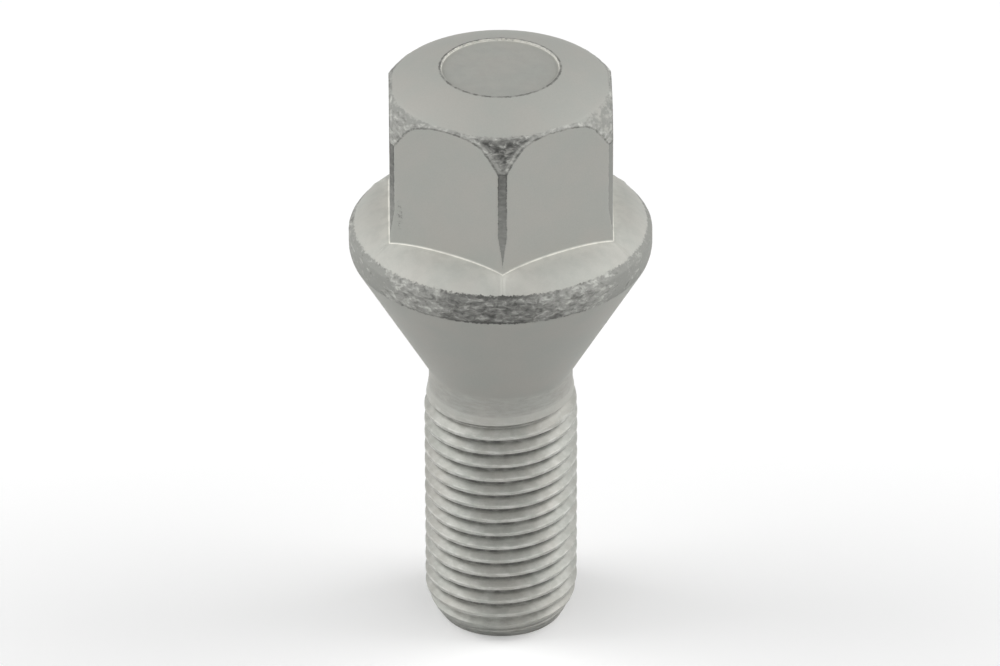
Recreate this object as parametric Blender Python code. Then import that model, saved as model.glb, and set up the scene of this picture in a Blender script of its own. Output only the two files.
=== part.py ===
"""A one-piece wheel bolt: hexagon head on a dished collar, conical seat, rolled M12 x 1.25 thread.

The bolt stands on its flat thread end. The origin is the centre of that end, +Z runs up the axis to the
head, and one corner of the hexagon points to -Y. Run it with blender --background --python part.py, or
from the text editor.
"""

import math

import bmesh
import bpy
from mathutils import Matrix, Vector

MM = 0.001

# Head, in millimetres and degrees
TOTAL_LENGTH = 48.5
HEX_ACROSS_FLATS = 17.0
CORNER_RADIUS_AT_TOP = 9.63
CORNER_RADIUS_AT_BASE = 9.83
CORNER_SWELL_TOP = 39.0
CORNER_SWELL_FOOT = 36.6
CROWN_EDGE_HEIGHT = 44.55
CROWN_EDGE_SLOPE = 72.7
CROWN_EDGE_ROUND = 1.75
CROWN_SHOULDER_RADIUS = 8.2
CROWN_SPHERE_RADIUS = 19.2
RECESS_DIAMETER = 9.0
RECESS_DEPTH = 0.2
HEX_FILLET = 0.15
HEAD_OVERLAP = 1.5

# Collar and seat
RIM_DIAMETER = 23.4
RIM_LAND_TOP = 34.36
RIM_LAND_BOTTOM = 33.33
RIM_UPPER_ROUND = 0.33
RIM_LOWER_ROUND = 1.85
DISH_RADIUS = 5.6
DISH_SLOPE_AT_RIM = 50.0
DISH_SLOPE_AT_HEX = 5.0
SEAT_ANGLE = 60.0
SEAT_FILLET = 0.8

# Shank and thread
NECK_DIAMETER = 11.2
NECK_BOTTOM = 20.9
THREAD_DIAMETER = 11.95
FULL_THREAD_TOP = 18.8
THREAD_PITCH = 1.25
ROOT_DIAMETER = 10.47
ROOT_FLAT = 0.21
FLANK_ANGLE = 30.0
GROOVE_HEIGHT_IN_FRONT = 10.75
RUN_OUT_START = 19.75
RUN_OUT_END = 20.5
POINT_LENGTH = 2.7
POINT_FULLNESS = 1.75
END_DIAMETER = 9.7

# Faceting: a multiple of six, so that every corner of the hexagon falls on a facet edge
FACETS = 48
ARC_STEP = 9.0
POINT_STEPS = 4
FILLET_STEPS = 2
WELD_DISTANCE = 0.004
SHARP_ANGLE = 25.0

# How far the groove's tool and the hexagonal bar reach past the metal that they shape
TOOL_MARGIN = 0.1
BAR_MARGIN = 1.0

# The foot of the hexagon is where an upright face meets a level one: the upward part of each one's normal
UPRIGHT = 0.01
LEVEL = 0.5

# Coating
COATING_COLOUR = (0.37, 0.38, 0.34, 1.0)
COATING_METALLIC = 0.35
COATING_ROUGHNESS = 0.55


def clear_scene():
    for obj in list(bpy.data.objects):
        bpy.data.objects.remove(obj, do_unlink=True)


def arc(centre, radius, start, end):
    """Points on an arc in the radius-height plane, from one angle to another, 0 being straight outward."""
    steps = max(1, math.ceil(abs(end - start) / ARC_STEP))
    angles = [math.radians(start + (end - start) * i / steps) for i in range(steps + 1)]
    return [(centre[0] + radius * math.cos(a), centre[1] + radius * math.sin(a)) for a in angles]


def point_outline():
    """The bluntly rounded point, from the flat end up to the full thread diameter."""
    full = THREAD_DIAMETER / 2
    drop = full - END_DIAMETER / 2
    heights = [POINT_LENGTH * i / POINT_STEPS for i in range(POINT_STEPS + 1)]
    return [(full - drop * (1 - height / POINT_LENGTH) ** POINT_FULLNESS, height) for height in heights]


def seat_outline():
    """Neck fillet, conical seat and the barrel rim above it."""
    half_angle = math.radians(SEAT_ANGLE / 2)
    rim = RIM_DIAMETER / 2
    neck = NECK_DIAMETER / 2
    lower = arc((rim - RIM_LOWER_ROUND, RIM_LAND_BOTTOM), RIM_LOWER_ROUND, -SEAT_ANGLE / 2, 0)
    cone_radius, cone_height = lower[0]
    cone_foot = cone_height - (cone_radius - neck) / math.tan(half_angle)
    reach = SEAT_FILLET * math.tan(half_angle / 2)
    fillet = arc((neck + SEAT_FILLET, cone_foot - reach), SEAT_FILLET, 180, 180 - SEAT_ANGLE / 2)
    upper = arc((rim - RIM_UPPER_ROUND, RIM_LAND_TOP), RIM_UPPER_ROUND, 0, 90 - DISH_SLOPE_AT_RIM)
    return fillet + lower + upper


def dish_outline(edge):
    """The domed top of the collar, from the rim's upper edge to inside the hexagon."""
    slope = math.radians(DISH_SLOPE_AT_RIM)
    centre = (edge[0] - DISH_RADIUS * math.sin(slope), edge[1] - DISH_RADIUS * math.cos(slope))
    return arc(centre, DISH_RADIUS, 90 - DISH_SLOPE_AT_RIM, 90 - DISH_SLOPE_AT_HEX)[1:]


def shank_outline():
    """Everything turned below the hexagon, from the end's centre to the axis inside the head."""
    outline = [(0.0, 0.0)] + point_outline()
    outline.append((THREAD_DIAMETER / 2, FULL_THREAD_TOP))
    outline.append((NECK_DIAMETER / 2, NECK_BOTTOM))
    outline += seat_outline()
    outline += dish_outline(outline[-1])
    outline.append((0.0, outline[-1][1]))
    return outline


def crown_outline(foot):
    """The head as if turned: blunt corners, rounded edge, domed crown and the shallow round recess."""
    recess = RECESS_DIAMETER / 2
    recess_angle = math.degrees(math.asin(recess / CROWN_SPHERE_RADIUS))
    shoulder_angle = math.degrees(math.asin(CROWN_SHOULDER_RADIUS / CROWN_SPHERE_RADIUS))
    sphere_centre = (0.0, TOTAL_LENGTH - CROWN_SPHERE_RADIUS * math.cos(math.radians(recess_angle)))
    dome = arc(sphere_centre, CROWN_SPHERE_RADIUS, 90 - shoulder_angle, 90 - recess_angle)
    edge_centre = (
        dome[0][0] - CROWN_EDGE_ROUND * math.sin(math.radians(shoulder_angle)),
        dome[0][1] - CROWN_EDGE_ROUND * math.cos(math.radians(shoulder_angle)),
    )
    edge = arc(edge_centre, CROWN_EDGE_ROUND, 90 - CROWN_EDGE_SLOPE, 90 - shoulder_angle)
    outline = [(0.0, foot), (CORNER_RADIUS_AT_BASE, foot), (CORNER_RADIUS_AT_BASE, CORNER_SWELL_FOOT)]
    outline.append((CORNER_RADIUS_AT_TOP, CORNER_SWELL_TOP))
    outline.append((CORNER_RADIUS_AT_TOP, CROWN_EDGE_HEIGHT))
    outline += edge + dome[1:]
    outline.append((recess, TOTAL_LENGTH - RECESS_DEPTH))
    outline.append((0.0, TOTAL_LENGTH - RECESS_DEPTH))
    return outline


def new_object(name, mesh):
    data = bpy.data.meshes.new(name)
    mesh.to_mesh(data)
    mesh.free()
    obj = bpy.data.objects.new(name, data)
    bpy.context.collection.objects.link(obj)
    return obj


def turned(name, outline):
    """Spins an outline of (radius, height) points round the axis, with a row of vertices facing -Y."""
    mesh = bmesh.new()
    row = [mesh.verts.new((0.0, -radius * MM, height * MM)) for radius, height in outline]
    edges = [mesh.edges.new(pair) for pair in zip(row[:-1], row[1:])]
    bmesh.ops.spin(
        mesh,
        geom=row + edges,
        cent=(0, 0, 0),
        axis=(0, 0, 1),
        angle=math.tau,
        steps=FACETS,
        use_merge=True,
    )
    bmesh.ops.remove_doubles(mesh, verts=mesh.verts[:], dist=1e-7)
    bmesh.ops.recalc_face_normals(mesh, faces=mesh.faces[:])
    return new_object(name, mesh)


def hexagon(name, bottom, top):
    """A hexagonal bar with a corner facing -Y."""
    mesh = bmesh.new()
    corner_radius = HEX_ACROSS_FLATS / 2 / math.cos(math.pi / 6) * MM
    bmesh.ops.create_circle(
        mesh, cap_ends=True, segments=6, radius=corner_radius, matrix=Matrix.Translation((0, 0, bottom * MM))
    )
    raised = bmesh.ops.extrude_face_region(mesh, geom=mesh.faces[:])["geom"]
    risen = [element for element in raised if isinstance(element, bmesh.types.BMVert)]
    bmesh.ops.translate(mesh, verts=risen, vec=(0, 0, (top - bottom) * MM))
    bmesh.ops.recalc_face_normals(mesh, faces=mesh.faces[:])
    return new_object(name, mesh)


def groove_lift(height):
    """How far the groove has risen out of the shank where its centre is at this height."""
    share = (height - RUN_OUT_START) / (RUN_OUT_END - RUN_OUT_START)
    share = min(1.0, max(0.0, share))
    deepest = (THREAD_DIAMETER - ROOT_DIAMETER) / 2
    return deepest * share * share * (3 - 2 * share)


def thread_groove(name):
    """The helical tool that leaves the thread: one groove section extruded up a right-hand helix."""
    mesh = bmesh.new()
    root = ROOT_DIAMETER / 2
    outside = THREAD_DIAMETER / 2 + TOOL_MARGIN
    half_mouth = ROOT_FLAT / 2 + (outside - root) * math.tan(math.radians(FLANK_ANGLE))
    first = GROOVE_HEIGHT_IN_FRONT - math.ceil(GROOVE_HEIGHT_IN_FRONT / THREAD_PITCH) * THREAD_PITCH
    steps = math.ceil((RUN_OUT_END - first) / THREAD_PITCH * FACETS)
    section = [
        (root, first - ROOT_FLAT / 2),
        (outside, first - half_mouth),
        (outside, first + half_mouth),
        (root, first + ROOT_FLAT / 2),
    ]
    ring = [mesh.verts.new((0.0, -radius * MM, height * MM)) for radius, height in section]
    end_face = mesh.faces.new(ring)
    rise = THREAD_PITCH / FACETS
    turn = Matrix.Rotation(math.tau / FACETS, 3, "Z")
    for step in range(steps):
        end_face = bmesh.ops.extrude_discrete_faces(mesh, faces=[end_face])["faces"][0]
        height = first + step * rise
        angle = math.tau * (step + 1) / FACETS - math.pi / 2
        outward = groove_lift(height + rise) - groove_lift(height)
        shift = Vector((math.cos(angle) * outward, math.sin(angle) * outward, rise)) * MM
        bmesh.ops.rotate(mesh, verts=end_face.verts[:], cent=(0, 0, 0), matrix=turn)
        bmesh.ops.translate(mesh, verts=end_face.verts[:], vec=shift)
    bmesh.ops.holes_fill(mesh, edges=mesh.edges[:], sides=4)
    bmesh.ops.recalc_face_normals(mesh, faces=mesh.faces[:])
    return new_object(name, mesh)


def combine(obj, other, operation):
    """Adds a Boolean and hides its other shape."""
    modifier = obj.modifiers.new(operation.title() + " " + other.name, "BOOLEAN")
    modifier.operation = operation
    modifier.solver = "EXACT"
    modifier.object = other
    other.hide_render = True
    other.display_type = "WIRE"


def weld(obj):
    """Joins the vertices that two Boolean cuts leave in the same place."""
    modifier = obj.modifiers.new("Weld coincident cuts", "WELD")
    modifier.merge_threshold = WELD_DISTANCE * MM


def settle(obj):
    """Makes what the modifiers give the object's own mesh."""
    graph = bpy.context.evaluated_depsgraph_get()
    data = bpy.data.meshes.new_from_object(obj.evaluated_get(graph))
    obj.modifiers.clear()
    obj.data = data


def fillet_hexagon_foot(bolt):
    """Rounds the inner edge where the hexagon's flats rise from the collar."""
    mesh = bmesh.new()
    mesh.from_mesh(bolt.data)
    foot_edges = []
    for edge in mesh.edges:
        if len(edge.link_faces) != 2 or edge.is_convex:
            continue
        tilts = sorted(abs(face.normal.z) for face in edge.link_faces)
        if tilts[0] < UPRIGHT and tilts[1] > LEVEL and edge.verts[0].co.z > RIM_LAND_TOP * MM:
            foot_edges.append(edge)
    bmesh.ops.bevel(
        mesh,
        geom=foot_edges,
        offset=HEX_FILLET * MM,
        offset_type="OFFSET",
        segments=FILLET_STEPS,
        profile=0.5,
        affect="EDGES",
        clamp_overlap=True,
        material=-1,
    )
    mesh.to_mesh(bolt.data)
    mesh.free()


def zinc_flake_material():
    material = bpy.data.materials.new("zinc_flake_coating")
    material.use_nodes = True
    shader = material.node_tree.nodes["Principled BSDF"]
    shader.inputs["Base Color"].default_value = COATING_COLOUR
    shader.inputs["Metallic"].default_value = COATING_METALLIC
    shader.inputs["Roughness"].default_value = COATING_ROUGHNESS
    return material


def build_bolt():
    bolt = turned("wheel_bolt", shank_outline())
    foot = RIM_LAND_TOP - HEAD_OVERLAP
    crown = turned("crown_blank", crown_outline(foot))
    combine(crown, hexagon("hexagon_bar", foot - BAR_MARGIN, TOTAL_LENGTH + BAR_MARGIN), "INTERSECT")
    combine(bolt, crown, "UNION")
    weld(bolt)
    settle(bolt)
    fillet_hexagon_foot(bolt)
    combine(bolt, thread_groove("thread_groove"), "DIFFERENCE")
    weld(bolt)
    bolt.data.materials.append(zinc_flake_material())
    bolt.data.shade_smooth()
    bolt.data.set_sharp_from_angle(angle=math.radians(SHARP_ANGLE))
    return bolt


clear_scene()
build_bolt()
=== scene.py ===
"""The looks of a one-piece wheel bolt: its forged head, rolled thread and matt zinc-flake finish.

The surface is made as the real bolt is: a helical sweep rolls the thread, a spin turns the blank of the head,
and the rows of that blank are then pressed onto the hexagon. Shapes are in millimetres until the last step.
"""

import math
from collections import namedtuple

import bmesh
import bpy
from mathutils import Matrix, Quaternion, Vector, noise


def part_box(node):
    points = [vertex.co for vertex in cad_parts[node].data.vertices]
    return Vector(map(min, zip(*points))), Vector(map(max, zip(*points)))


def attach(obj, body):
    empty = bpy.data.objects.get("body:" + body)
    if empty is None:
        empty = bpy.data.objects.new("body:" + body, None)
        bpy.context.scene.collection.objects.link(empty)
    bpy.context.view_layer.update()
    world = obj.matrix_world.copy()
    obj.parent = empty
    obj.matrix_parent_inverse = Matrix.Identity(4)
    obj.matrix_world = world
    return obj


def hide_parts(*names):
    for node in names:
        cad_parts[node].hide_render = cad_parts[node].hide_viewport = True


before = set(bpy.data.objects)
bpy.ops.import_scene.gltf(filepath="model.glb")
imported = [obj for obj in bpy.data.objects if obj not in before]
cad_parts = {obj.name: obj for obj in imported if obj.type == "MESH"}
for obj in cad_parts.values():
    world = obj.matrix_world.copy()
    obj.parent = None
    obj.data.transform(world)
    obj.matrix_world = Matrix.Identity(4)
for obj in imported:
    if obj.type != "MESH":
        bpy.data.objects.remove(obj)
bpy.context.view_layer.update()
bolt_low, bolt_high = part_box("wheel_bolt")

MM = 0.001

# Head
TOTAL_LENGTH = (bolt_high.z - bolt_low.z) / MM
HALF_FLATS = 8.5
CORNER_RADIUS_AT_TOP = 9.63
CORNER_RADIUS_AT_BASE = 9.83
CORNER_SWELL_TOP = 39.0
CORNER_SWELL_FOOT = 36.6
CROWN_EDGE_HEIGHT = 44.55
CROWN_EDGE_SLOPE = 72.7
CROWN_EDGE_ROUND = 1.75
CROWN_SHOULDER_RADIUS = 8.2
CROWN_SPHERE_RADIUS = 19.2
RECESS_RADIUS = 4.5
RECESS_DEPTH = 0.2
RECESS_LIP = 0.05
HEX_FILLET = 0.15

# Collar and seat
RIM_RADIUS = (bolt_high.x - bolt_low.x) / 2 / MM
RIM_LAND_TOP = 34.36
RIM_LAND_BOTTOM = 33.33
RIM_UPPER_ROUND = 0.33
RIM_LOWER_ROUND = 1.85
DISH_RADIUS = 5.6
DISH_SLOPE_AT_RIM = 50.0
SEAT_HALF_ANGLE = 30.0
SEAT_FILLET = 0.8

# Shank and thread
NECK_RADIUS = 5.6
NECK_BOTTOM = 20.9
NECK_JOIN = 21.45
NECK_BRIDGE = 0.2
THREAD_RADIUS = 5.975
FULL_THREAD_TOP = 18.8
THREAD_PITCH = 1.25
ROOT_RADIUS = 5.235
ROOT_ROUND = 0.12
CREST_ROUND = 0.10
FLANK_ANGLE = 30.0
GROOVE_HEIGHT_IN_FRONT = 10.75
RUN_OUT_START = 20.05
RUN_OUT_END = 20.7
POINT_LENGTH = 2.7
POINT_FULLNESS = 1.75
END_RADIUS = 4.85

# No die touches the rim, the crown outside its shoulder and the blunt corners, so they keep forging scale
RIM_SCALE_BOTTOM = 32.62
RIM_SCALE_INNER = 11.31
CROWN_SCALE_INNER = 8.38

# How heavy the scale is: on the crown's corners and on the edges below them, from the front one round to the
# right, and on the rim by direction, spread (both in degrees) and weight. It fades down the corners' edges
CORNER_SCALE = (1.35, 0.12, 0.9, 0.6, 1.1, 0.38)
STRIPE_SCALE = (0.75, 0.3, 0.7, 0.5, 0.8, 0.85)
RIM_SCALE = (
    (-93.0, 23.0, 0.85),
    (-57.0, 11.0, 0.3),
    (-128.0, 12.0, 0.2),
    (70.0, 40.0, 0.6),
    (165.0, 20.0, 0.3),
)
LEAST_SCALE = 0.2
STRIPE_FADING = 0.45
STRIPE_FADING_REACH = 7.0

# The heavy core of a crown's corner: where it starts and over what distance it grows, from the corner's right
# and left edges and from its inner border. Outside it the scale keeps this share of its weight
CORE_FROM_RIGHT = (0.1, 0.35)
CORE_FROM_LEFT = (0.05, 0.6)
CORE_FROM_BORDER = (0.05, 0.4)
SHARE_OUTSIDE_CORE = 0.3

# Depths of the pits in the scale and of the roll marks, and how many of them a millimetre holds
PIT_DEPTH = 0.07
PIT_SPREAD = 0.15
LEAST_PITTING = 0.25
MEAN_PIT = 0.45
WIDE_PITS = 1.1
WIDE_PIT_SHARE = 0.35
FINE_PITS = 3.0
FINE_PIT_SHARE = 0.3
PIT_FLATTENING = 1.4
ROLL_MARK_DEPTH = 0.012
ROLL_MARKS_ROUND = 0.9
ROLL_MARKS_UP = 3.5
ROLL_MARK_SHARE = 0.6
ROLL_MARK_START = 0.2
FINE_PIT_PLACE = Vector((7, 3, 5))

# The noise of the pits and roll marks: how fast its layers weaken and shrink, and their number
WIDE_PIT_NOISE = (0.8, 2.1, 3)
FINE_PIT_NOISE = (0.7, 2.0, 2)
ROLL_MARK_NOISE = (0.8, 2.0, 2)

# How much the neck is drawn like the thread, the painted shade on the neck, the recess's floor and the point,
# how deep the coat pools, and the painted highlights along the hexagon's foot and on the recess's wall
NECK_DRAWN = 0.25
NECK_FADE = 0.2
NECK_SHADE = 0.68
RECESS_SHADE = 0.64
POINT_SHADE = 0.84
POINT_SHADE_REACH = 4.0
DISH_POOLING = 0.12
FOOT_HIGHLIGHT = 0.22
FOOT_HIGHLIGHT_WIDTH = 0.7
WALL_HIGHLIGHT = 0.5

# A rubbed patch on the flat left of the front: direction in degrees, height, half width and half height
SMEAR_DIRECTION = -145.5
SMEAR_HEIGHT = 38.6
SMEAR_WIDTH = 1.1
SMEAR_REACH = 5.0
SMEAR_EDGE = -0.03
SMEAR_WEIGHT = 0.45

# A low ridge runs over the collar from each corner
RIDGE_HEIGHT = 0.1
RIDGE_WIDTH = 0.12
RIDGE_FADE = 0.3
RIDGE_END = 1.05

# Fineness of the surface. The head has three columns for each of the shank's, drawn together at the corners
SHANK_COLUMNS = 144
HEAD_COLUMNS = 432
CORNER_CROWDING = 0.5
FINE_ROW = 0.125
DISH_ROW_GROWTH = 1.3
CROWN_ROW_GROWTH = 1.5
END_FACE_INSET = 0.6
AXIS_RADIUS = 0.001
MERGE_DISTANCE = 0.0005
LEVEL_TOLERANCE = 0.001
CUT_TOLERANCE = 0.00001
SHARP_ANGLE = 40.0

# On the crown, how far from the hexagon's edge a point lies for each millimetre inside the flat's plane
CROWN_EDGE_STRETCH = 1.6

# What the finish reads at each vertex: distance into the scale and from the hexagon's upper edge and the
# recess's lip in millimetres, and the shares of heavy scale, rubbed scale, pooled coat with painted
# highlight, rolled surface and depth in the thread's groove, which also says how much painted shade a surface
# gets
FAR = 9.0
PLAIN = dict(
    scale_reach=-1.0,
    edge_reach=FAR,
    lip_reach=FAR,
    scale_weight=0.0,
    rubbed=0.0,
    coat_depth=0.0,
    rolled=0.0,
    groove=0.0,
)

HeadRow = namedtuple("HeadRow", "surface place")


def polar(centre, radius, degrees):
    """The point of a circle in the radius-height plane, 0 degrees being straight outward."""
    turn = math.radians(degrees)
    return centre[0] + radius * math.cos(turn), centre[1] + radius * math.sin(turn)


def arc(centre, radius, start, end, steps):
    return [polar(centre, radius, start + (end - start) * i / steps) for i in range(steps + 1)]


def straight(start, end, steps):
    """Points on a straight line, without its first one."""
    shares = [i / steps for i in range(1, steps + 1)]
    return [(start[0] + (end[0] - start[0]) * s, start[1] + (end[1] - start[1]) * s) for s in shares]


def clamp(value):
    return min(1.0, max(0.0, value))


def ease(value):
    """Smoothly from 0 to 1."""
    value = clamp(value)
    return value * value * (3 - 2 * value)


def grown(distance, start, length):
    """From 0 at the start to 1 after this length."""
    return ease((distance - start) / length)


def bell(distance, width):
    return math.exp(-((distance / width) ** 2))


# The dish on top of the collar and the crown on top of the head, as heights over a radius
RIM_UPPER_CENTRE = (RIM_RADIUS - RIM_UPPER_ROUND, RIM_LAND_TOP)
DISH_EDGE = polar(RIM_UPPER_CENTRE, RIM_UPPER_ROUND, 90 - DISH_SLOPE_AT_RIM)
DISH_CENTRE = polar(DISH_EDGE, -DISH_RADIUS, 90 - DISH_SLOPE_AT_RIM)
SPHERE_BASE = TOTAL_LENGTH - math.sqrt(CROWN_SPHERE_RADIUS**2 - RECESS_RADIUS**2)
SHOULDER_ANGLE = math.degrees(math.acos(CROWN_SHOULDER_RADIUS / CROWN_SPHERE_RADIUS))
SHOULDER = polar((0.0, SPHERE_BASE), CROWN_SPHERE_RADIUS, SHOULDER_ANGLE)
CROWN_EDGE_CENTRE = polar(SHOULDER, -CROWN_EDGE_ROUND, SHOULDER_ANGLE)
CROWN_SLOPE_TOP = polar(CROWN_EDGE_CENTRE, CROWN_EDGE_ROUND, 90 - CROWN_EDGE_SLOPE)


def dish_height(radius):
    return DISH_CENTRE[1] + math.sqrt(DISH_RADIUS**2 - (radius - DISH_CENTRE[0]) ** 2)


def crown_height(radius):
    """The turned crown: a wide sphere, a rounded shoulder, and the steep slope that cuts the corners."""
    if radius <= CROWN_SHOULDER_RADIUS:
        return SPHERE_BASE + math.sqrt(CROWN_SPHERE_RADIUS**2 - radius**2)
    if radius <= CROWN_SLOPE_TOP[0]:
        reach = radius - CROWN_EDGE_CENTRE[0]
        return CROWN_EDGE_CENTRE[1] + math.sqrt(CROWN_EDGE_ROUND**2 - reach**2)
    share = (radius - CROWN_SLOPE_TOP[0]) / (CORNER_RADIUS_AT_TOP - CROWN_SLOPE_TOP[0])
    return CROWN_SLOPE_TOP[1] + (CROWN_EDGE_HEIGHT - CROWN_SLOPE_TOP[1]) * share


def corner_number(angle):
    """Which corner of the hexagon is nearest, counted from the front one round to the right."""
    return round((angle + math.pi / 2) / (math.tau / 6)) % 6


def past_corner(angle):
    """Radians from the nearest corner of the hexagon to this direction. One corner points to -Y."""
    sixth = math.tau / 6
    return (angle + math.pi / 2 + sixth / 2) % sixth - sixth / 2


def from_corner(angle):
    return abs(past_corner(angle))


def flat_radius(angle):
    return HALF_FLATS / math.cos(math.pi / 6 - from_corner(angle))


def corner_radius(height):
    """The corners are blunt, and run out to full ones at the collar."""
    share = clamp((height - CORNER_SWELL_FOOT) / (CORNER_SWELL_TOP - CORNER_SWELL_FOOT))
    return CORNER_RADIUS_AT_BASE + (CORNER_RADIUS_AT_TOP - CORNER_RADIUS_AT_BASE) * share


def edge_radius(angle):
    return min(flat_radius(angle), CORNER_RADIUS_AT_TOP)


def edge_height(angle):
    """The edge between flat and crown, an arch over each flat."""
    return crown_height(edge_radius(angle))


def foot_radius(angle):
    return min(flat_radius(angle), CORNER_RADIUS_AT_BASE)


# Rows of the head, from the neck to the middle of the recess. A row gives radius and height for a direction.
def turned_rows(surface, outline):
    return [HeadRow(surface, lambda angle, point=point: point) for point in outline]


def dish_row(share):
    """Between the rim and the fillet at the hexagon's foot, with a low ridge from each corner."""

    def place(angle):
        inner = foot_radius(angle) + HEX_FILLET
        radius = DISH_EDGE[0] + (inner - DISH_EDGE[0]) * share
        ridge = RIDGE_HEIGHT * bell(from_corner(angle) * radius, RIDGE_WIDTH)
        ridge *= ease(share / RIDGE_FADE) * ease((RIDGE_END - share) / RIDGE_FADE)
        return radius, dish_height(radius) + ridge

    return HeadRow("dish", place)


def foot_row(share):
    """A quarter round from the dish into the flat."""

    def place(angle):
        foot = foot_radius(angle)
        base = dish_height(foot + HEX_FILLET)
        turn = share * math.pi / 2
        return foot + HEX_FILLET * (1 - math.sin(turn)), base + HEX_FILLET * (1 - math.cos(turn))

    return HeadRow("foot", place)


def flat_row(share):
    def place(angle):
        low = dish_height(foot_radius(angle) + HEX_FILLET) + HEX_FILLET
        height = low + (edge_height(angle) - low) * share
        return min(flat_radius(angle), corner_radius(height)), height

    return HeadRow("flat", place)


def crown_row(share):
    """Between the hexagon's upper edge and the lip of the recess."""

    def place(angle):
        outer = edge_radius(angle)
        radius = outer + (RECESS_RADIUS + RECESS_LIP - outer) * share
        return radius, crown_height(radius)

    return HeadRow("crown", place)


def seat_outline():
    """Neck, fillet, conical seat and rim."""
    lower_centre = (RIM_RADIUS - RIM_LOWER_ROUND, RIM_LAND_BOTTOM)
    lower = arc(lower_centre, RIM_LOWER_ROUND, -SEAT_HALF_ANGLE, 0, steps=8)
    cone_top = lower[0]
    cone_foot = cone_top[1] - (cone_top[0] - NECK_RADIUS) / math.tan(math.radians(SEAT_HALF_ANGLE))
    reach = SEAT_FILLET * math.tan(math.radians(SEAT_HALF_ANGLE / 2))
    fillet_centre = (NECK_RADIUS + SEAT_FILLET, cone_foot - reach)
    outline = [(NECK_RADIUS, NECK_JOIN + NECK_BRIDGE)]
    outline += arc(fillet_centre, SEAT_FILLET, 180, 180 - SEAT_HALF_ANGLE, steps=5)
    outline += straight(outline[-1], cone_top, steps=14)
    outline += lower[1:]
    land_rows = round((RIM_LAND_TOP - RIM_LAND_BOTTOM) / FINE_ROW)
    outline += straight(outline[-1], (RIM_RADIUS, RIM_LAND_TOP), steps=land_rows)
    outline += arc(RIM_UPPER_CENTRE, RIM_UPPER_ROUND, 0, 90 - DISH_SLOPE_AT_RIM, steps=3)[1:]
    return outline


def recess_outline():
    """The lip, the wall and the flat floor of the shallow round recess, in to the axis."""
    floor = TOTAL_LENGTH - RECESS_DEPTH
    lip_top = crown_height(RECESS_RADIUS + RECESS_LIP)
    outline = arc((RECESS_RADIUS + RECESS_LIP, lip_top - RECESS_LIP), RECESS_LIP, 90, 180, steps=3)[1:]
    outline += straight(outline[-1], (RECESS_RADIUS, floor + RECESS_LIP), steps=1)
    foot_centre = (RECESS_RADIUS - RECESS_LIP, floor + RECESS_LIP)
    outline += arc(foot_centre, RECESS_LIP, 0, -90, steps=3)[1:]
    outline += straight(outline[-1], (RECESS_RADIUS - 3 * RECESS_LIP, floor), steps=1)
    outline += straight(outline[-1], (0.0, floor), steps=6)
    return outline


def head_rows():
    """The rows lie closer where the surface bends or its scale needs them."""
    dish_steps, foot_steps, flat_steps, crown_steps = 14, 4, 28, 32
    rows = turned_rows("seat", seat_outline())
    rows += [dish_row((i / dish_steps) ** DISH_ROW_GROWTH) for i in range(1, dish_steps + 1)]
    rows += [foot_row(i / foot_steps) for i in range(1, foot_steps + 1)]
    rows += [flat_row(0.5 - 0.5 * math.cos(math.pi * i / flat_steps)) for i in range(1, flat_steps + 1)]
    rows += [crown_row((i / crown_steps) ** CROWN_ROW_GROWTH) for i in range(1, crown_steps + 1)]
    rows += turned_rows("recess", recess_outline())
    return rows


# What the finish reads on each surface of the head
def rim_weight(angle):
    """How heavy the scale on the rim is in this direction."""
    weight = LEAST_SCALE
    for direction, spread, share in RIM_SCALE:
        apart = (math.degrees(angle) - direction + 180) % 360 - 180
        weight += share * bell(apart, spread)
    return weight


def rim_marks(radius, height, angle):
    reach = min(height - RIM_SCALE_BOTTOM, radius - RIM_SCALE_INNER)
    neck = 1 - ease((radius - NECK_RADIUS) / NECK_FADE)
    return dict(
        scale_reach=reach,
        scale_weight=rim_weight(angle),
        rolled=NECK_DRAWN * neck,
        # Painted shade on the neck, under the seat
        groove=NECK_SHADE * neck,
    )


def dish_marks(radius, height, angle):
    """The coat pools in the dish, and a painted highlight runs along the hexagon's foot."""
    marks = rim_marks(radius, height, angle)
    along_foot = bell(radius - foot_radius(angle), FOOT_HIGHLIGHT_WIDTH)
    marks["coat_depth"] = DISH_POOLING + FOOT_HIGHLIGHT * along_foot
    return marks


def smear(radius, height, angle):
    """Reach of the rubbed patch on one flat."""
    across = (angle - math.radians(SMEAR_DIRECTION)) * radius / SMEAR_WIDTH
    up = (height - SMEAR_HEIGHT) / SMEAR_REACH
    return SMEAR_EDGE - across**2 - up**2


def flat_marks(radius, height, angle):
    """The blunt corners between the flats keep their scale."""
    step = 0.01
    slant = (edge_height(angle + step) - edge_height(angle - step)) / (2 * step * radius)
    below_edge = (edge_height(angle) - height) * math.cos(math.atan(slant))
    stripe = math.pi / 6 - math.acos(min(1.0, HALF_FLATS / corner_radius(height)))
    reach = 2 * (stripe - from_corner(angle)) * radius
    faded = 1 - STRIPE_FADING * ease(below_edge / STRIPE_FADING_REACH)
    marks = dict(scale_reach=reach, scale_weight=STRIPE_SCALE[corner_number(angle)] * faded)
    smeared = smear(radius, height, angle)
    if smeared > reach:
        marks = dict(scale_reach=smeared, scale_weight=SMEAR_WEIGHT)
    return dict(marks, edge_reach=-below_edge, rubbed=1.0)


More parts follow.
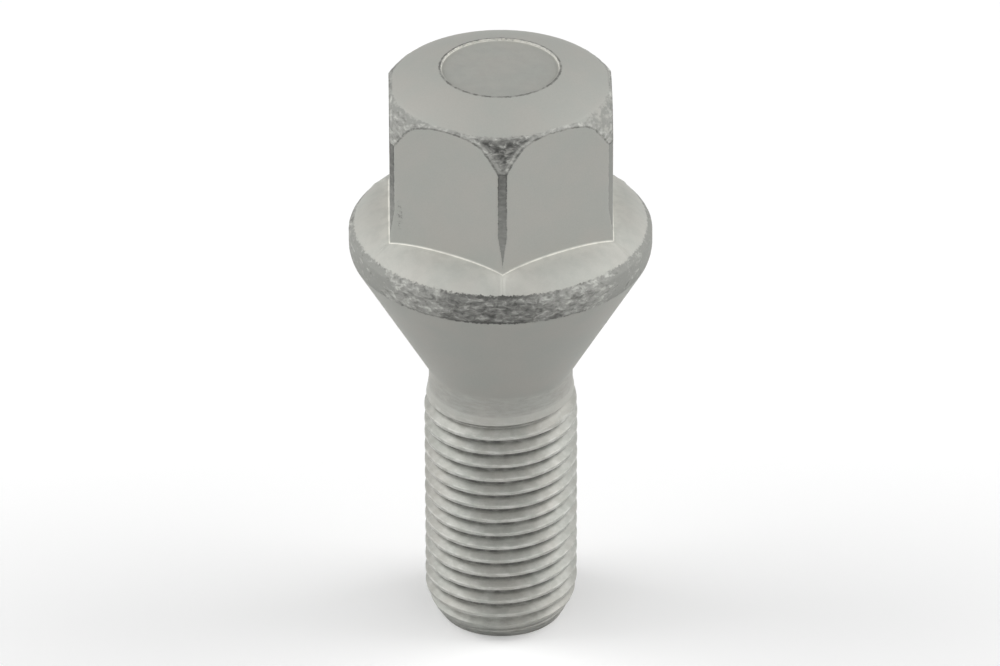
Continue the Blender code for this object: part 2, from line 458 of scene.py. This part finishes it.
def crown_marks(radius, height, angle):
    """The scale is heaviest deep in the corners, and lighter along their edges."""
    right_gap = HALF_FLATS - radius * math.cos(math.pi / 6 - past_corner(angle))
    left_gap = HALF_FLATS - radius * math.cos(math.pi / 6 + past_corner(angle))
    from_right = CROWN_EDGE_STRETCH * right_gap
    from_left = CROWN_EDGE_STRETCH * left_gap
    reach = radius - CROWN_SCALE_INNER
    core = grown(from_right, *CORE_FROM_RIGHT) * grown(from_left, *CORE_FROM_LEFT)
    core *= grown(reach, *CORE_FROM_BORDER)
    weight = CORNER_SCALE[corner_number(angle)] * (SHARE_OUTSIDE_CORE + (1 - SHARE_OUTSIDE_CORE) * core)
    return dict(
        scale_reach=reach,
        edge_reach=min(from_left, from_right),
        lip_reach=radius - RECESS_RADIUS - RECESS_LIP,
        scale_weight=weight,
    )


def recess_marks(radius, height, angle):
    """A painted highlight on the wall, and painted shade on the floor."""
    wall = bell(radius - RECESS_RADIUS, RECESS_LIP)
    return dict(
        coat_depth=WALL_HIGHLIGHT * wall,
        groove=RECESS_SHADE * (1 - wall),
        lip_reach=radius - RECESS_RADIUS - RECESS_LIP,
    )


def foot_marks(radius, height, angle):
    """The outer half of the fillet carries a painted highlight."""
    return dict(coat_depth=ease(2 * (radius - foot_radius(angle)) / HEX_FILLET))


MARKS_OF = {
    "seat": rim_marks,
    "dish": dish_marks,
    "foot": foot_marks,
    "flat": flat_marks,
    "crown": crown_marks,
    "recess": recess_marks,
}


def write_marks(vert, layers, marks):
    for name, value in {**PLAIN, **marks}.items():
        vert[layers[name]] = value


def crowded(angle, share):
    """Draws a column towards the nearest corner of the hexagon."""
    return angle - share * CORNER_CROWDING / 6 * math.sin(6 * (angle + math.pi / 2))


def press_head(mesh, layers):
    """Turns the blank of the head and presses its rows onto the hexagon."""
    rows = head_rows()
    row_number = mesh.verts.layers.int.new("row")
    chain = []
    for number, row in enumerate(rows):
        radius, height = row.place(-math.pi / 2)
        vert = mesh.verts.new((0.0, -max(radius, AXIS_RADIUS), height))
        vert[row_number] = number + 1
        chain.append(vert)
    edges = [mesh.edges.new(pair) for pair in zip(chain[:-1], chain[1:])]
    bmesh.ops.spin(
        mesh,
        geom=chain + edges,
        cent=(0, 0, 0),
        axis=(0, 0, 1),
        angle=math.tau,
        steps=HEAD_COLUMNS,
        use_merge=True,
    )
    for vert in mesh.verts:
        if vert[row_number] == 0:
            continue
        row = rows[vert[row_number] - 1]
        above_neck = (vert.co.z - NECK_JOIN) / (RIM_SCALE_BOTTOM - NECK_JOIN)
        angle = crowded(math.atan2(vert.co.y, vert.co.x), ease(above_neck))
        radius, height = row.place(angle)
        vert.co = (radius * math.cos(angle), radius * math.sin(angle), height)
        write_marks(vert, layers, MARKS_OF[row.surface](radius, height, angle))
    mesh.verts.layers.int.remove(row_number)


def thread_tooth():
    """One pitch of the rolled profile, from the middle of a root, as radius and height above that root."""
    root_centre = (ROOT_RADIUS + ROOT_ROUND, 0.0)
    slant = 90 - FLANK_ANGLE
    flank_rise = math.tan(math.radians(FLANK_ANGLE))
    root_end = polar(root_centre, ROOT_ROUND, 180 - slant)
    crest_start = THREAD_RADIUS - CREST_ROUND * (1 - math.cos(math.radians(slant)))
    rise = (crest_start - root_end[0]) * flank_rise
    crest_height = root_end[1] + rise + CREST_ROUND * math.sin(math.radians(slant))
    lower = arc(root_centre, ROOT_ROUND, 180, 180 - slant, steps=2)
    lower += arc((THREAD_RADIUS - CREST_ROUND, crest_height), CREST_ROUND, -slant, 0, steps=3)
    upper = [(radius, THREAD_PITCH - height) for radius, height in reversed(lower[1:])]
    return lower + upper


def point_radius(height):
    """The blunt point, which grows to the full thread."""
    share = clamp(height / POINT_LENGTH)
    return THREAD_RADIUS - (THREAD_RADIUS - END_RADIUS) * (1 - share) ** POINT_FULLNESS


def blank_radius(height):
    """The shank before rolling: point, full diameter and the taper to the neck."""
    taper = (height - FULL_THREAD_TOP) / (NECK_BOTTOM - FULL_THREAD_TOP)
    shank = THREAD_RADIUS + (NECK_RADIUS - THREAD_RADIUS) * clamp(taper)
    return min(point_radius(height), shank)


def roll_thread(mesh, layers):
    """Sweeps the profile up a right-hand helix, lifts it out at the neck and trims it to the blank."""
    thread_depth = THREAD_RADIUS - ROOT_RADIUS
    turns_below = math.ceil(GROOVE_HEIGHT_IN_FRONT / THREAD_PITCH) + 1
    first_root = GROOVE_HEIGHT_IN_FRONT - turns_below * THREAD_PITCH
    turns = math.ceil((NECK_JOIN - first_root) / THREAD_PITCH)
    starts = [first_root + turn * THREAD_PITCH for turn in range(turns)]
    profile = [(radius, start + height) for start in starts for radius, height in thread_tooth()]
    chain = [mesh.verts.new((0.0, -radius, height)) for radius, height in profile]
    edges = [mesh.edges.new(pair) for pair in zip(chain[:-1], chain[1:])]
    bmesh.ops.spin(
        mesh,
        geom=chain + edges,
        cent=(0, 0, 0),
        axis=(0, 0, 1),
        dvec=(0, 0, THREAD_PITCH / SHANK_COLUMNS),
        angle=math.tau,
        steps=SHANK_COLUMNS,
    )
    bmesh.ops.remove_doubles(mesh, verts=mesh.verts[:], dist=MERGE_DISTANCE)
    for vert in mesh.verts:
        height = vert.co.z
        radius = vert.co.xy.length
        run_out = grown(height, RUN_OUT_START, RUN_OUT_END - RUN_OUT_START)
        blank = blank_radius(height)
        wanted = min(radius + run_out * thread_depth, blank)
        vert.co.xy *= wanted / radius
        groove = (blank - wanted) / thread_depth
        # Painted shade on the blunt point, strongest at its end
        point_shade = POINT_SHADE * (1 - ease(height / POINT_SHADE_REACH))
        above_thread = grown(height, FULL_THREAD_TOP, RUN_OUT_END - FULL_THREAD_TOP)
        marks = dict(
            rolled=1 - (1 - NECK_DRAWN) * above_thread,
            # The depth in the groove, with painted shade added on the point and on the neck as the thread
            # runs out
            groove=max(groove, point_shade, NECK_SHADE * run_out),
        )
        write_marks(vert, layers, marks)
    for height, side in ((NECK_JOIN, 1), (0.0, -1)):
        bmesh.ops.bisect_plane(
            mesh,
            geom=mesh.verts[:] + mesh.edges[:] + mesh.faces[:],
            dist=CUT_TOLERANCE,
            plane_co=(0, 0, height),
            plane_no=(0, 0, side),
            clear_outer=True,
        )


def open_edges(mesh, height):
    """The open edges at this height."""
    level = [e for e in mesh.edges if e.is_boundary]
    return [e for e in level if all(abs(v.co.z - height) < LEVEL_TOLERANCE for v in e.verts)]


def pitting(place):
    """How deep the scale is pitted here: wide pits with fine ones in them."""
    flattened = Vector((place.x, place.y, place.z * PIT_FLATTENING))
    wide = noise.fractal(flattened * WIDE_PITS, *WIDE_PIT_NOISE)
    fine = noise.fractal(flattened * FINE_PITS + FINE_PIT_PLACE, *FINE_PIT_NOISE)
    return clamp(MEAN_PIT + WIDE_PIT_SHARE * wide + FINE_PIT_SHARE * fine)


def rolling(place):
    """How deep the roll marks are here. They run round the shank."""
    along = Vector((place.x * ROLL_MARKS_ROUND, place.y * ROLL_MARKS_ROUND, place.z * ROLL_MARKS_UP))
    return clamp(0.5 + ROLL_MARK_SHARE * noise.fractal(along, *ROLL_MARK_NOISE))


def roughen(mesh, layers):
    """Pits the surfaces that no die touched and leaves faint roll marks on the thread, always inward."""
    mesh.normal_update()
    moves = []
    for vert in mesh.verts:
        pitted = grown(vert[layers["scale_reach"]], -PIT_SPREAD, 2 * PIT_SPREAD)
        pitted *= LEAST_PITTING + (1 - LEAST_PITTING) * vert[layers["scale_weight"]]
        rolled = vert[layers["rolled"]] * ease(vert.co.z / ROLL_MARK_START)
        depth = 0.0
        if pitted > 0:
            depth += PIT_DEPTH * pitted * pitting(vert.co)
        if rolled > 0:
            depth += ROLL_MARK_DEPTH * rolled * rolling(vert.co)
        if depth > 0:
            moves.append((vert, vert.normal * -depth))
    for vert, move in moves:
        vert.co += move


def forge_bolt():
    mesh = bmesh.new()
    layers = {name: mesh.verts.layers.float.new(name) for name in PLAIN}
    roll_thread(mesh, layers)
    end_face = bmesh.ops.contextual_create(mesh, geom=open_edges(mesh, 0.0))["faces"]
    bmesh.ops.inset_region(mesh, faces=end_face, thickness=END_FACE_INSET, use_even_offset=True)
    press_head(mesh, layers)
    bmesh.ops.remove_doubles(mesh, verts=mesh.verts[:], dist=MERGE_DISTANCE)
    joins = open_edges(mesh, NECK_JOIN) + open_edges(mesh, NECK_JOIN + NECK_BRIDGE)
    bmesh.ops.bridge_loops(mesh, edges=joins)
    bmesh.ops.recalc_face_normals(mesh, faces=mesh.faces[:])
    roughen(mesh, layers)
    bmesh.ops.scale(mesh, verts=mesh.verts[:], vec=(MM, MM, MM))
    data = bpy.data.meshes.new("forged_bolt")
    mesh.to_mesh(data)
    mesh.free()
    bolt = bpy.data.objects.new("forged_bolt", data)
    bpy.context.collection.objects.link(bolt)
    data.shade_smooth()
    data.set_sharp_from_angle(angle=math.radians(SHARP_ANGLE))
    return bolt


# Colours of the finish
COAT_COOL = (0.356, 0.364, 0.336, 1.0)
COAT_WARM = (0.378, 0.372, 0.342, 1.0)
# Lighter coat for the random streaks and flakes, and for the painted highlight on the thread's crests
COAT_BRIGHT = (0.66, 0.66, 0.63, 1.0)
# Pooled coat, also used for the painted highlights on the hexagon's foot and the recess's wall
COAT_POOLED_AND_HIGHLIGHT = (0.83, 0.82, 0.75, 1.0)
SMOOTH_SCALE = (0.29, 0.294, 0.274, 1.0)
RUBBED_SCALE = (0.135, 0.137, 0.128, 1.0)
# Dark lines: painted shadow at the thread's roots and the recess's lip, the scale's own lines elsewhere
DARK_LINE = (0.085, 0.086, 0.080, 1.0)
# Painted shade for the thread's grooves, the neck, the point and the recess's floor
GROOVE_SHADE = (0.10, 0.101, 0.093, 1.0)

# Tones of mottled scale from its pits to its crests, as places in the mottling and strengths of grey
FLECKED_SCALE = ((0.34, 0.19), (0.44, 0.29), (0.55, 0.35), (0.66, 0.52))
HEAVY_SCALE = ((0.34, 0.085), (0.45, 0.16), (0.55, 0.235), (0.67, 0.40))
DEEP_SCALE = ((0.37, 0.06), (0.49, 0.125), (0.57, 0.23), (0.67, 0.42))
GREEN_IN_SCALE = 1.005
BLUE_IN_SCALE = 0.94

# Grains of the finish
Grain = namedtuple("Grain", "per_mm flattening detail roughness distortion")
GRAINS = {
    "ragged": Grain(4.0, 1.0, 4.0, 0.65, 0.0),
    "mottle": Grain(1.55, 1.9, 6.0, 0.6, 0.6),
    "cloud": Grain(0.28, 1.0, 3.0, 0.55, 0.0),
    "patches": Grain(0.7, 1.9, 3.0, 0.6, 0.0),
    "flake": Grain(11.0, 1.0, 3.0, 0.6, 0.0),
    "streaks": Grain(1.1, 4.5, 4.0, 0.6, 0.0),
    "stains": Grain(1.3, 1.0, 3.0, 0.55, 0.0),
}

# The plain coat: swings of its lightness, and spans of a grain or mark with the shares that they give
FULL = (0.0, 1.0)
STREAK_SWING = 0.6
STAIN_SWING = 0.7
FLAKE_SWING = 0.25
BRIGHTNESS = 0.1
CLOUD_SPAN = (0.3, 0.7)
STAIN_SPAN = (0.35, 0.6)
# Shares of pooled coat and painted highlight as the stains swing
POOLING_AND_HIGHLIGHT_SHARES = (0.7, 1.1)
# The painted highlight on the thread's crests: its span of depth, and its shares as the streaks swing
CREST_SPAN = (0.12, 0.03)
CREST_STREAK_SPAN = (0.42, 0.6)
CREST_SHARES = (0.0, 0.3)
# Painted shade deep in the thread's groove: its span of depth, and its shares as the streaks swing
SHADE_SPAN = (0.55, 0.85)
SHADE_STREAK_SPAN = (0.3, 0.7)
SHADE_SHARES = (0.6, 0.3)
# The painted shadow line at the thread's roots: its span of depth, and its shares as the stains swing
ROOT_LINE_SPAN = (0.86, 0.96)
ROOT_LINE_SHARES = (0.9, 0.45)

# The scale: spans of its weight over which each kind begins, and of the distance over which its border frays
PATCH_SWING = 0.7
RAGGED_WEIGHT_SWING = 0.4
FRAY_SWING = 0.5
SCALED_SPAN = (-0.07, 0.05)
SMOOTH_SPAN = (0.0, 0.15)
FLECKED_SPAN = (0.22, 0.36)
HEAVY_SPAN = (0.5, 0.8)
DEEP_SPAN = (1.0, 1.3)
RUBBED_SHARE = 0.7

# The flecked band above the hexagon's upper edge and the dark lines: spans of the distance in millimetres
EDGE_FRAY = 0.25
BAND_START_SPAN = (0.05, 0.12)
BAND_END_SPAN = (0.55, 0.3)
BAND_WEIGHT_SPAN = (0.9, 0.5)
EDGE_LINE_SPAN = (0.12, 0.03)
# A painted shadow line along the recess's lip: its place and span in millimetres
LIP_LINE_PLACE = 0.06
LIP_LINE_SPAN = (0.13, 0.05)
BORDER_PLACE = 0.08
BORDER_SPAN = (0.13, 0.04)
BORDER_WEIGHT_SPAN = (0.5, 1.0)
BORDER_SHARES = (0.0, 0.8)
LINE_MOTTLE_SPAN = (0.6, 0.42)
LINE_SHARES = (0.25, 0.75)

# Bump heights in metres, and roughness and metallic share
FLAKE_BUMP = 0.0000015
ROLLED_BUMP = 0.00001
PIT_BUMP = 0.0001
PIT_WEIGHT_SPAN = (0.1, 0.8)
ROUGHNESS = (0.55, 0.68)
ROLLED_ROUGHNESS_SWING = 0.1
METALLIC = (0.25, 0.5)
SPECULAR_LEVEL = 0.35


def link(tree, value, socket):
    """Sets a socket to a value, or links it from another socket."""
    if isinstance(value, bpy.types.NodeSocket):
        tree.links.new(value, socket)
    else:
        socket.default_value = value


def maths(tree, operation, first, second=0.0):
    node = tree.nodes.new("ShaderNodeMath")
    node.operation = operation
    link(tree, first, node.inputs[0])
    link(tree, second, node.inputs[1])
    return node.outputs[0]


def plus(tree, first, second):
    return maths(tree, "ADD", first, second)


def times(tree, first, second):
    return maths(tree, "MULTIPLY", first, second)


def distance_from(tree, value, place=0.0):
    """How far a value is from a place, on either side."""
    return maths(tree, "ABSOLUTE", maths(tree, "SUBTRACT", value, place))


def swing(tree, value, size):
    """Turns a grain into a value that swings evenly about zero."""
    return times(tree, maths(tree, "SUBTRACT", value, 0.5), size)


def remap(tree, value, span, shares=FULL):
    """Smoothly from one share to the other over a span of the value, held at both ends."""
    node = tree.nodes.new("ShaderNodeMapRange")
    node.interpolation_type = "SMOOTHSTEP"
    link(tree, value, node.inputs["Value"])
    for name, setting in zip(("From Min", "From Max", "To Min", "To Max"), span + shares):
        node.inputs[name].default_value = setting
    return node.outputs["Result"]


def mix(tree, share, first, second):
    """Mixes two colours."""
    node = tree.nodes.new("ShaderNodeMix")
    node.data_type = "RGBA"
    link(tree, share, node.inputs[0])
    link(tree, first, node.inputs[6])
    link(tree, second, node.inputs[7])
    return node.outputs[2]


def mark(tree, name):
    node = tree.nodes.new("ShaderNodeAttribute")
    node.attribute_name = name
    return node.outputs["Fac"]


def grow_grain(tree, place, kind):
    """A noise with so many features in a millimetre, flattened along the bolt's axis."""
    scaled = tree.nodes.new("ShaderNodeMapping")
    link(tree, place, scaled.inputs["Vector"])
    scaled.inputs["Scale"].default_value = (1 / MM, 1 / MM, kind.flattening / MM)
    node = tree.nodes.new("ShaderNodeTexNoise")
    link(tree, scaled.outputs["Vector"], node.inputs["Vector"])
    node.inputs["Scale"].default_value = kind.per_mm
    node.inputs["Detail"].default_value = kind.detail
    node.inputs["Roughness"].default_value = kind.roughness
    node.inputs["Distortion"].default_value = kind.distortion
    return node.outputs["Fac"]


def bump(tree, height, distance, normal=None):
    node = tree.nodes.new("ShaderNodeBump")
    link(tree, height, node.inputs["Height"])
    node.inputs["Distance"].default_value = distance
    if normal is not None:
        link(tree, normal, node.inputs["Normal"])
    return node.outputs["Normal"]


def scale_tones(tree, mottle, steps):
    """The colours of mottled scale, a slightly yellow grey of each strength."""
    node = tree.nodes.new("ShaderNodeValToRGB")
    link(tree, mottle, node.inputs["Fac"])
    ramp = node.color_ramp
    for position, strength in steps[1:-1]:
        ramp.elements.new(position)
    for element, (position, strength) in zip(ramp.elements, steps):
        element.position = position
        element.color = (strength, strength * GREEN_IN_SCALE, strength * BLUE_IN_SCALE, 1.0)
    return node.outputs["Color"]


def plain_coat(tree, grains, streaking):
    """Faint clouds, fine flakes and roll marks, lighter where the coat pooled, with painted highlights on the
    crests, the hexagon's foot and the recess's wall, and painted shade in the grooves, on the neck and point.
    """
    streaks = grains["streaks"]
    stains = grains["stains"]
    groove = mark(tree, "groove")
    coat = mix(tree, remap(tree, grains["cloud"], CLOUD_SPAN), COAT_COOL, COAT_WARM)
    lightness = plus(tree, streaking, swing(tree, grains["flake"], FLAKE_SWING))
    coat = mix(tree, plus(tree, lightness, BRIGHTNESS), coat, COAT_BRIGHT)
    # Pooled coat in the dish, and painted highlights on the hexagon's foot and the recess's wall
    pooled_and_highlight = times(tree, mark(tree, "coat_depth"), remap(tree, stains, STAIN_SPAN, POOLING_AND_HIGHLIGHT_SHARES))
    coat = mix(tree, pooled_and_highlight, coat, COAT_POOLED_AND_HIGHLIGHT)
    # A painted highlight along the thread's crests
    crest_highlight = remap(tree, groove, CREST_SPAN)
    crest_highlight = times(tree, crest_highlight, remap(tree, streaks, CREST_STREAK_SPAN, CREST_SHARES))
    coat = mix(tree, times(tree, crest_highlight, mark(tree, "rolled")), coat, COAT_BRIGHT)
    # Painted shade, darker deeper in the thread's groove and on the neck, the point and the recess's floor
    painted_shade = remap(tree, groove, SHADE_SPAN)
    painted_shade = times(tree, painted_shade, remap(tree, streaks, SHADE_STREAK_SPAN, SHADE_SHARES))
    coat = mix(tree, painted_shade, coat, GROOVE_SHADE)
    # A painted shadow line at the thread's roots, under each crest
    root_shadow_line = remap(tree, groove, ROOT_LINE_SPAN)
    root_shadow_line = times(tree, root_shadow_line, remap(tree, stains, STAIN_SPAN, ROOT_LINE_SHARES))
    return mix(tree, root_shadow_line, coat, DARK_LINE)


def forging_scale(tree, mottle, weight, coat):
    """Smooth where it weighs least, then flecked, heavy and deep, and even where it is rubbed."""
    scale = mix(tree, remap(tree, weight, SMOOTH_SPAN), coat, SMOOTH_SCALE)
    for span, tones in ((FLECKED_SPAN, FLECKED_SCALE), (HEAVY_SPAN, HEAVY_SCALE), (DEEP_SPAN, DEEP_SCALE)):
        scale = mix(tree, remap(tree, weight, span), scale, scale_tones(tree, mottle, tones))
    rubbed = mix(tree, remap(tree, mark(tree, "scale_weight"), FULL), SMOOTH_SCALE, RUBBED_SCALE)
    return mix(tree, times(tree, mark(tree, "rubbed"), RUBBED_SHARE), scale, rubbed)


def add_lines(tree, grains, weight, frayed, colour):
    """The flecked band, dark lines along the hexagon's edge and the scale's border, and a painted shadow line
    along the recess's lip.
    """
    mottle = grains["mottle"]
    fray = swing(tree, grains["ragged"], EDGE_FRAY)
    edge = plus(tree, mark(tree, "edge_reach"), fray)
    band = times(tree, remap(tree, edge, BAND_START_SPAN), remap(tree, edge, BAND_END_SPAN))
    band = times(tree, band, remap(tree, weight, BAND_WEIGHT_SPAN))
    colour = mix(tree, band, colour, scale_tones(tree, mottle, FLECKED_SCALE))
    edge_line = remap(tree, distance_from(tree, edge), EDGE_LINE_SPAN)
    lip = plus(tree, mark(tree, "lip_reach"), fray)
    # A painted shadow line along the recess's lip
    lip_shadow_line = remap(tree, distance_from(tree, lip, LIP_LINE_PLACE), LIP_LINE_SPAN)
    border = remap(tree, distance_from(tree, frayed, BORDER_PLACE), BORDER_SPAN)
    border = times(tree, border, remap(tree, weight, BORDER_WEIGHT_SPAN, BORDER_SHARES))
    line = maths(tree, "MAXIMUM", edge_line, lip_shadow_line)
    line = times(tree, line, remap(tree, mottle, LINE_MOTTLE_SPAN, LINE_SHARES))
    return mix(tree, maths(tree, "MAXIMUM", line, border), colour, DARK_LINE)


def zinc_flake():
    """Matt silver-grey zinc-flake coating, dark and pitted where the forging kept its scale."""
    material = bpy.data.materials.new("zinc_flake")
    material.use_nodes = True
    tree = material.node_tree
    shader = tree.nodes["Principled BSDF"]
    place = tree.nodes.new("ShaderNodeTexCoord").outputs["Object"]
    grains = {name: grow_grain(tree, place, kind) for name, kind in GRAINS.items()}
    ragged = grains["ragged"]
    rolled = mark(tree, "rolled")

    streaking = swing(tree, grains["streaks"], STREAK_SWING)
    streaking = plus(tree, streaking, swing(tree, grains["stains"], STAIN_SWING))
    streaking = times(tree, streaking, rolled)
    coat = plain_coat(tree, grains, streaking)
    weight = plus(tree, mark(tree, "scale_weight"), swing(tree, grains["patches"], PATCH_SWING))
    weight = plus(tree, weight, swing(tree, ragged, RAGGED_WEIGHT_SWING))
    frayed = plus(tree, mark(tree, "scale_reach"), swing(tree, ragged, FRAY_SWING))
    scaled = remap(tree, frayed, SCALED_SPAN)
    colour = mix(tree, scaled, coat, forging_scale(tree, grains["mottle"], weight, coat))
    link(tree, add_lines(tree, grains, weight, frayed, colour), shader.inputs["Base Color"])

    normal = bump(tree, grains["flake"], FLAKE_BUMP)
    normal = bump(tree, streaking, ROLLED_BUMP, normal)
    pits = times(tree, times(tree, grains["mottle"], scaled), remap(tree, weight, PIT_WEIGHT_SPAN))
    link(tree, bump(tree, pits, PIT_BUMP, normal), shader.inputs["Normal"])
    smoother = swing(tree, rolled, ROLLED_ROUGHNESS_SWING)
    roughness = maths(tree, "SUBTRACT", remap(tree, scaled, FULL, ROUGHNESS), smoother)
    link(tree, roughness, shader.inputs["Roughness"])
    link(tree, remap(tree, rolled, FULL, METALLIC), shader.inputs["Metallic"])
    shader.inputs["Specular IOR Level"].default_value = SPECULAR_LEVEL
    return material


# Camera, at the photograph's viewing angle
CAMERA_DISTANCE = 0.6267
CAMERA_ELEVATION = 31.017
CAMERA_AZIMUTH = 0.9
CAMERA_ROLL = -0.12
CAMERA_AIM_HEIGHT = 0.02489
CAMERA_SENSOR = 36.0
CAMERA_LENS = 290.9
CAMERA_SHIFT = -0.0007
CAMERA_CLIP_START = 0.01


def place_camera():
    data = bpy.data.cameras.new("camera")
    data.sensor_width = CAMERA_SENSOR
    data.lens = CAMERA_LENS
    data.shift_x = CAMERA_SHIFT
    data.clip_start = CAMERA_CLIP_START
    camera = bpy.data.objects.new("camera", data)
    bpy.context.collection.objects.link(camera)
    azimuth = math.radians(CAMERA_AZIMUTH)
    elevation = math.radians(CAMERA_ELEVATION)
    level = math.cos(elevation)
    away = Vector((-math.sin(azimuth) * level, -math.cos(azimuth) * level, math.sin(elevation)))
    camera.location = Vector((0, 0, CAMERA_AIM_HEIGHT)) + away * CAMERA_DISTANCE
    roll = Quaternion((0, 0, 1), math.radians(CAMERA_ROLL))
    camera.rotation_mode = "QUATERNION"
    camera.rotation_quaternion = (-away).to_track_quat("-Z", "Y") @ roll
    bpy.context.scene.camera = camera


# Studio
SIDE_WALLS = 2.2
FRONT_WALL = 1.2
BACK_WALL = 0.27
FLOOR_SEEN = (0.97, 0.97, 0.97, 1.0)
FLOOR_BOUNCE = (0.33, 0.33, 0.33, 1.0)
FLOOR_HALF_WIDTH = 3.0
FLOOR_ROUGHNESS = 0.9
FLOOR_SPECULAR_LEVEL = 0.1
SOFTBOX_AZIMUTH = 95.0
SOFTBOX_ELEVATION = 45.0
SOFTBOX_DISTANCE = 0.35
SOFTBOX_SIZE = 0.18
SOFTBOX_POWER = 0.34


def lay_floor():
    """A white floor that throws less light back onto the bolt than the camera sees on it."""
    mesh = bmesh.new()
    bmesh.ops.create_grid(mesh, x_segments=1, y_segments=1, size=FLOOR_HALF_WIDTH)
    data = bpy.data.meshes.new("floor")
    mesh.to_mesh(data)
    mesh.free()
    floor = bpy.data.objects.new("floor", data)
    bpy.context.collection.objects.link(floor)
    material = bpy.data.materials.new("floor")
    material.use_nodes = True
    tree = material.node_tree
    shader = tree.nodes["Principled BSDF"]
    path = tree.nodes.new("ShaderNodeLightPath").outputs
    seen = maths(tree, "MAXIMUM", path["Is Camera Ray"], path["Is Glossy Ray"])
    seen = maths(tree, "MAXIMUM", seen, path["Is Transmission Ray"])
    link(tree, mix(tree, seen, FLOOR_BOUNCE, FLOOR_SEEN), shader.inputs["Base Color"])
    shader.inputs["Roughness"].default_value = FLOOR_ROUGHNESS
    shader.inputs["Specular IOR Level"].default_value = FLOOR_SPECULAR_LEVEL
    data.materials.append(material)


def place_softbox(azimuth):
    """A square lamp that faces the middle of the bolt, placed by its direction from the camera's."""
    data = bpy.data.lights.new("softbox", "AREA")
    data.size = SOFTBOX_SIZE
    data.energy = SOFTBOX_POWER
    lamp = bpy.data.objects.new("softbox", data)
    turn = math.radians(azimuth)
    rise = math.radians(SOFTBOX_ELEVATION)
    away = Vector((-math.sin(turn) * math.cos(rise), -math.cos(turn) * math.cos(rise), math.sin(rise)))
    lamp.location = Vector((0, 0, CAMERA_AIM_HEIGHT)) + away * SOFTBOX_DISTANCE
    lamp.rotation_mode = "QUATERNION"
    lamp.rotation_quaternion = (-away).to_track_quat("-Z", "Y")
    bpy.context.collection.objects.link(lamp)


def wall_light(tree, direction, strength):
    """Light from one wall of the tent, brightest at its middle."""
    return times(tree, times(tree, direction, direction), strength)


def set_studio():
    """A tent with bright side walls over a white floor, and a softbox on either side of the bolt."""
    world = bpy.data.worlds.new("tent")
    bpy.context.scene.world = world
    world.use_nodes = True
    tree = world.node_tree
    split = tree.nodes.new("ShaderNodeSeparateXYZ")
    link(tree, tree.nodes.new("ShaderNodeTexCoord").outputs["Generated"], split.inputs["Vector"])
    sides = wall_light(tree, maths(tree, "ABSOLUTE", split.outputs["X"]), SIDE_WALLS)
    front = wall_light(tree, maths(tree, "MINIMUM", split.outputs["Y"], 0.0), FRONT_WALL)
    back = wall_light(tree, maths(tree, "MAXIMUM", split.outputs["Y"], 0.0), BACK_WALL)
    light = plus(tree, sides, plus(tree, front, back))
    link(tree, light, tree.nodes["Background"].inputs["Strength"])
    tree.nodes["Background"].inputs["Color"].default_value = (1.0, 1.0, 1.0, 1.0)
    lay_floor()
    for azimuth in (-SOFTBOX_AZIMUTH, SOFTBOX_AZIMUTH):
        place_softbox(azimuth)


bpy.context.scene.view_settings.view_transform = "Standard"
place_camera()
set_studio()
bolt = forge_bolt()
bolt.data.materials.append(zinc_flake())
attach(bolt, "root")
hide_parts("wheel_bolt")
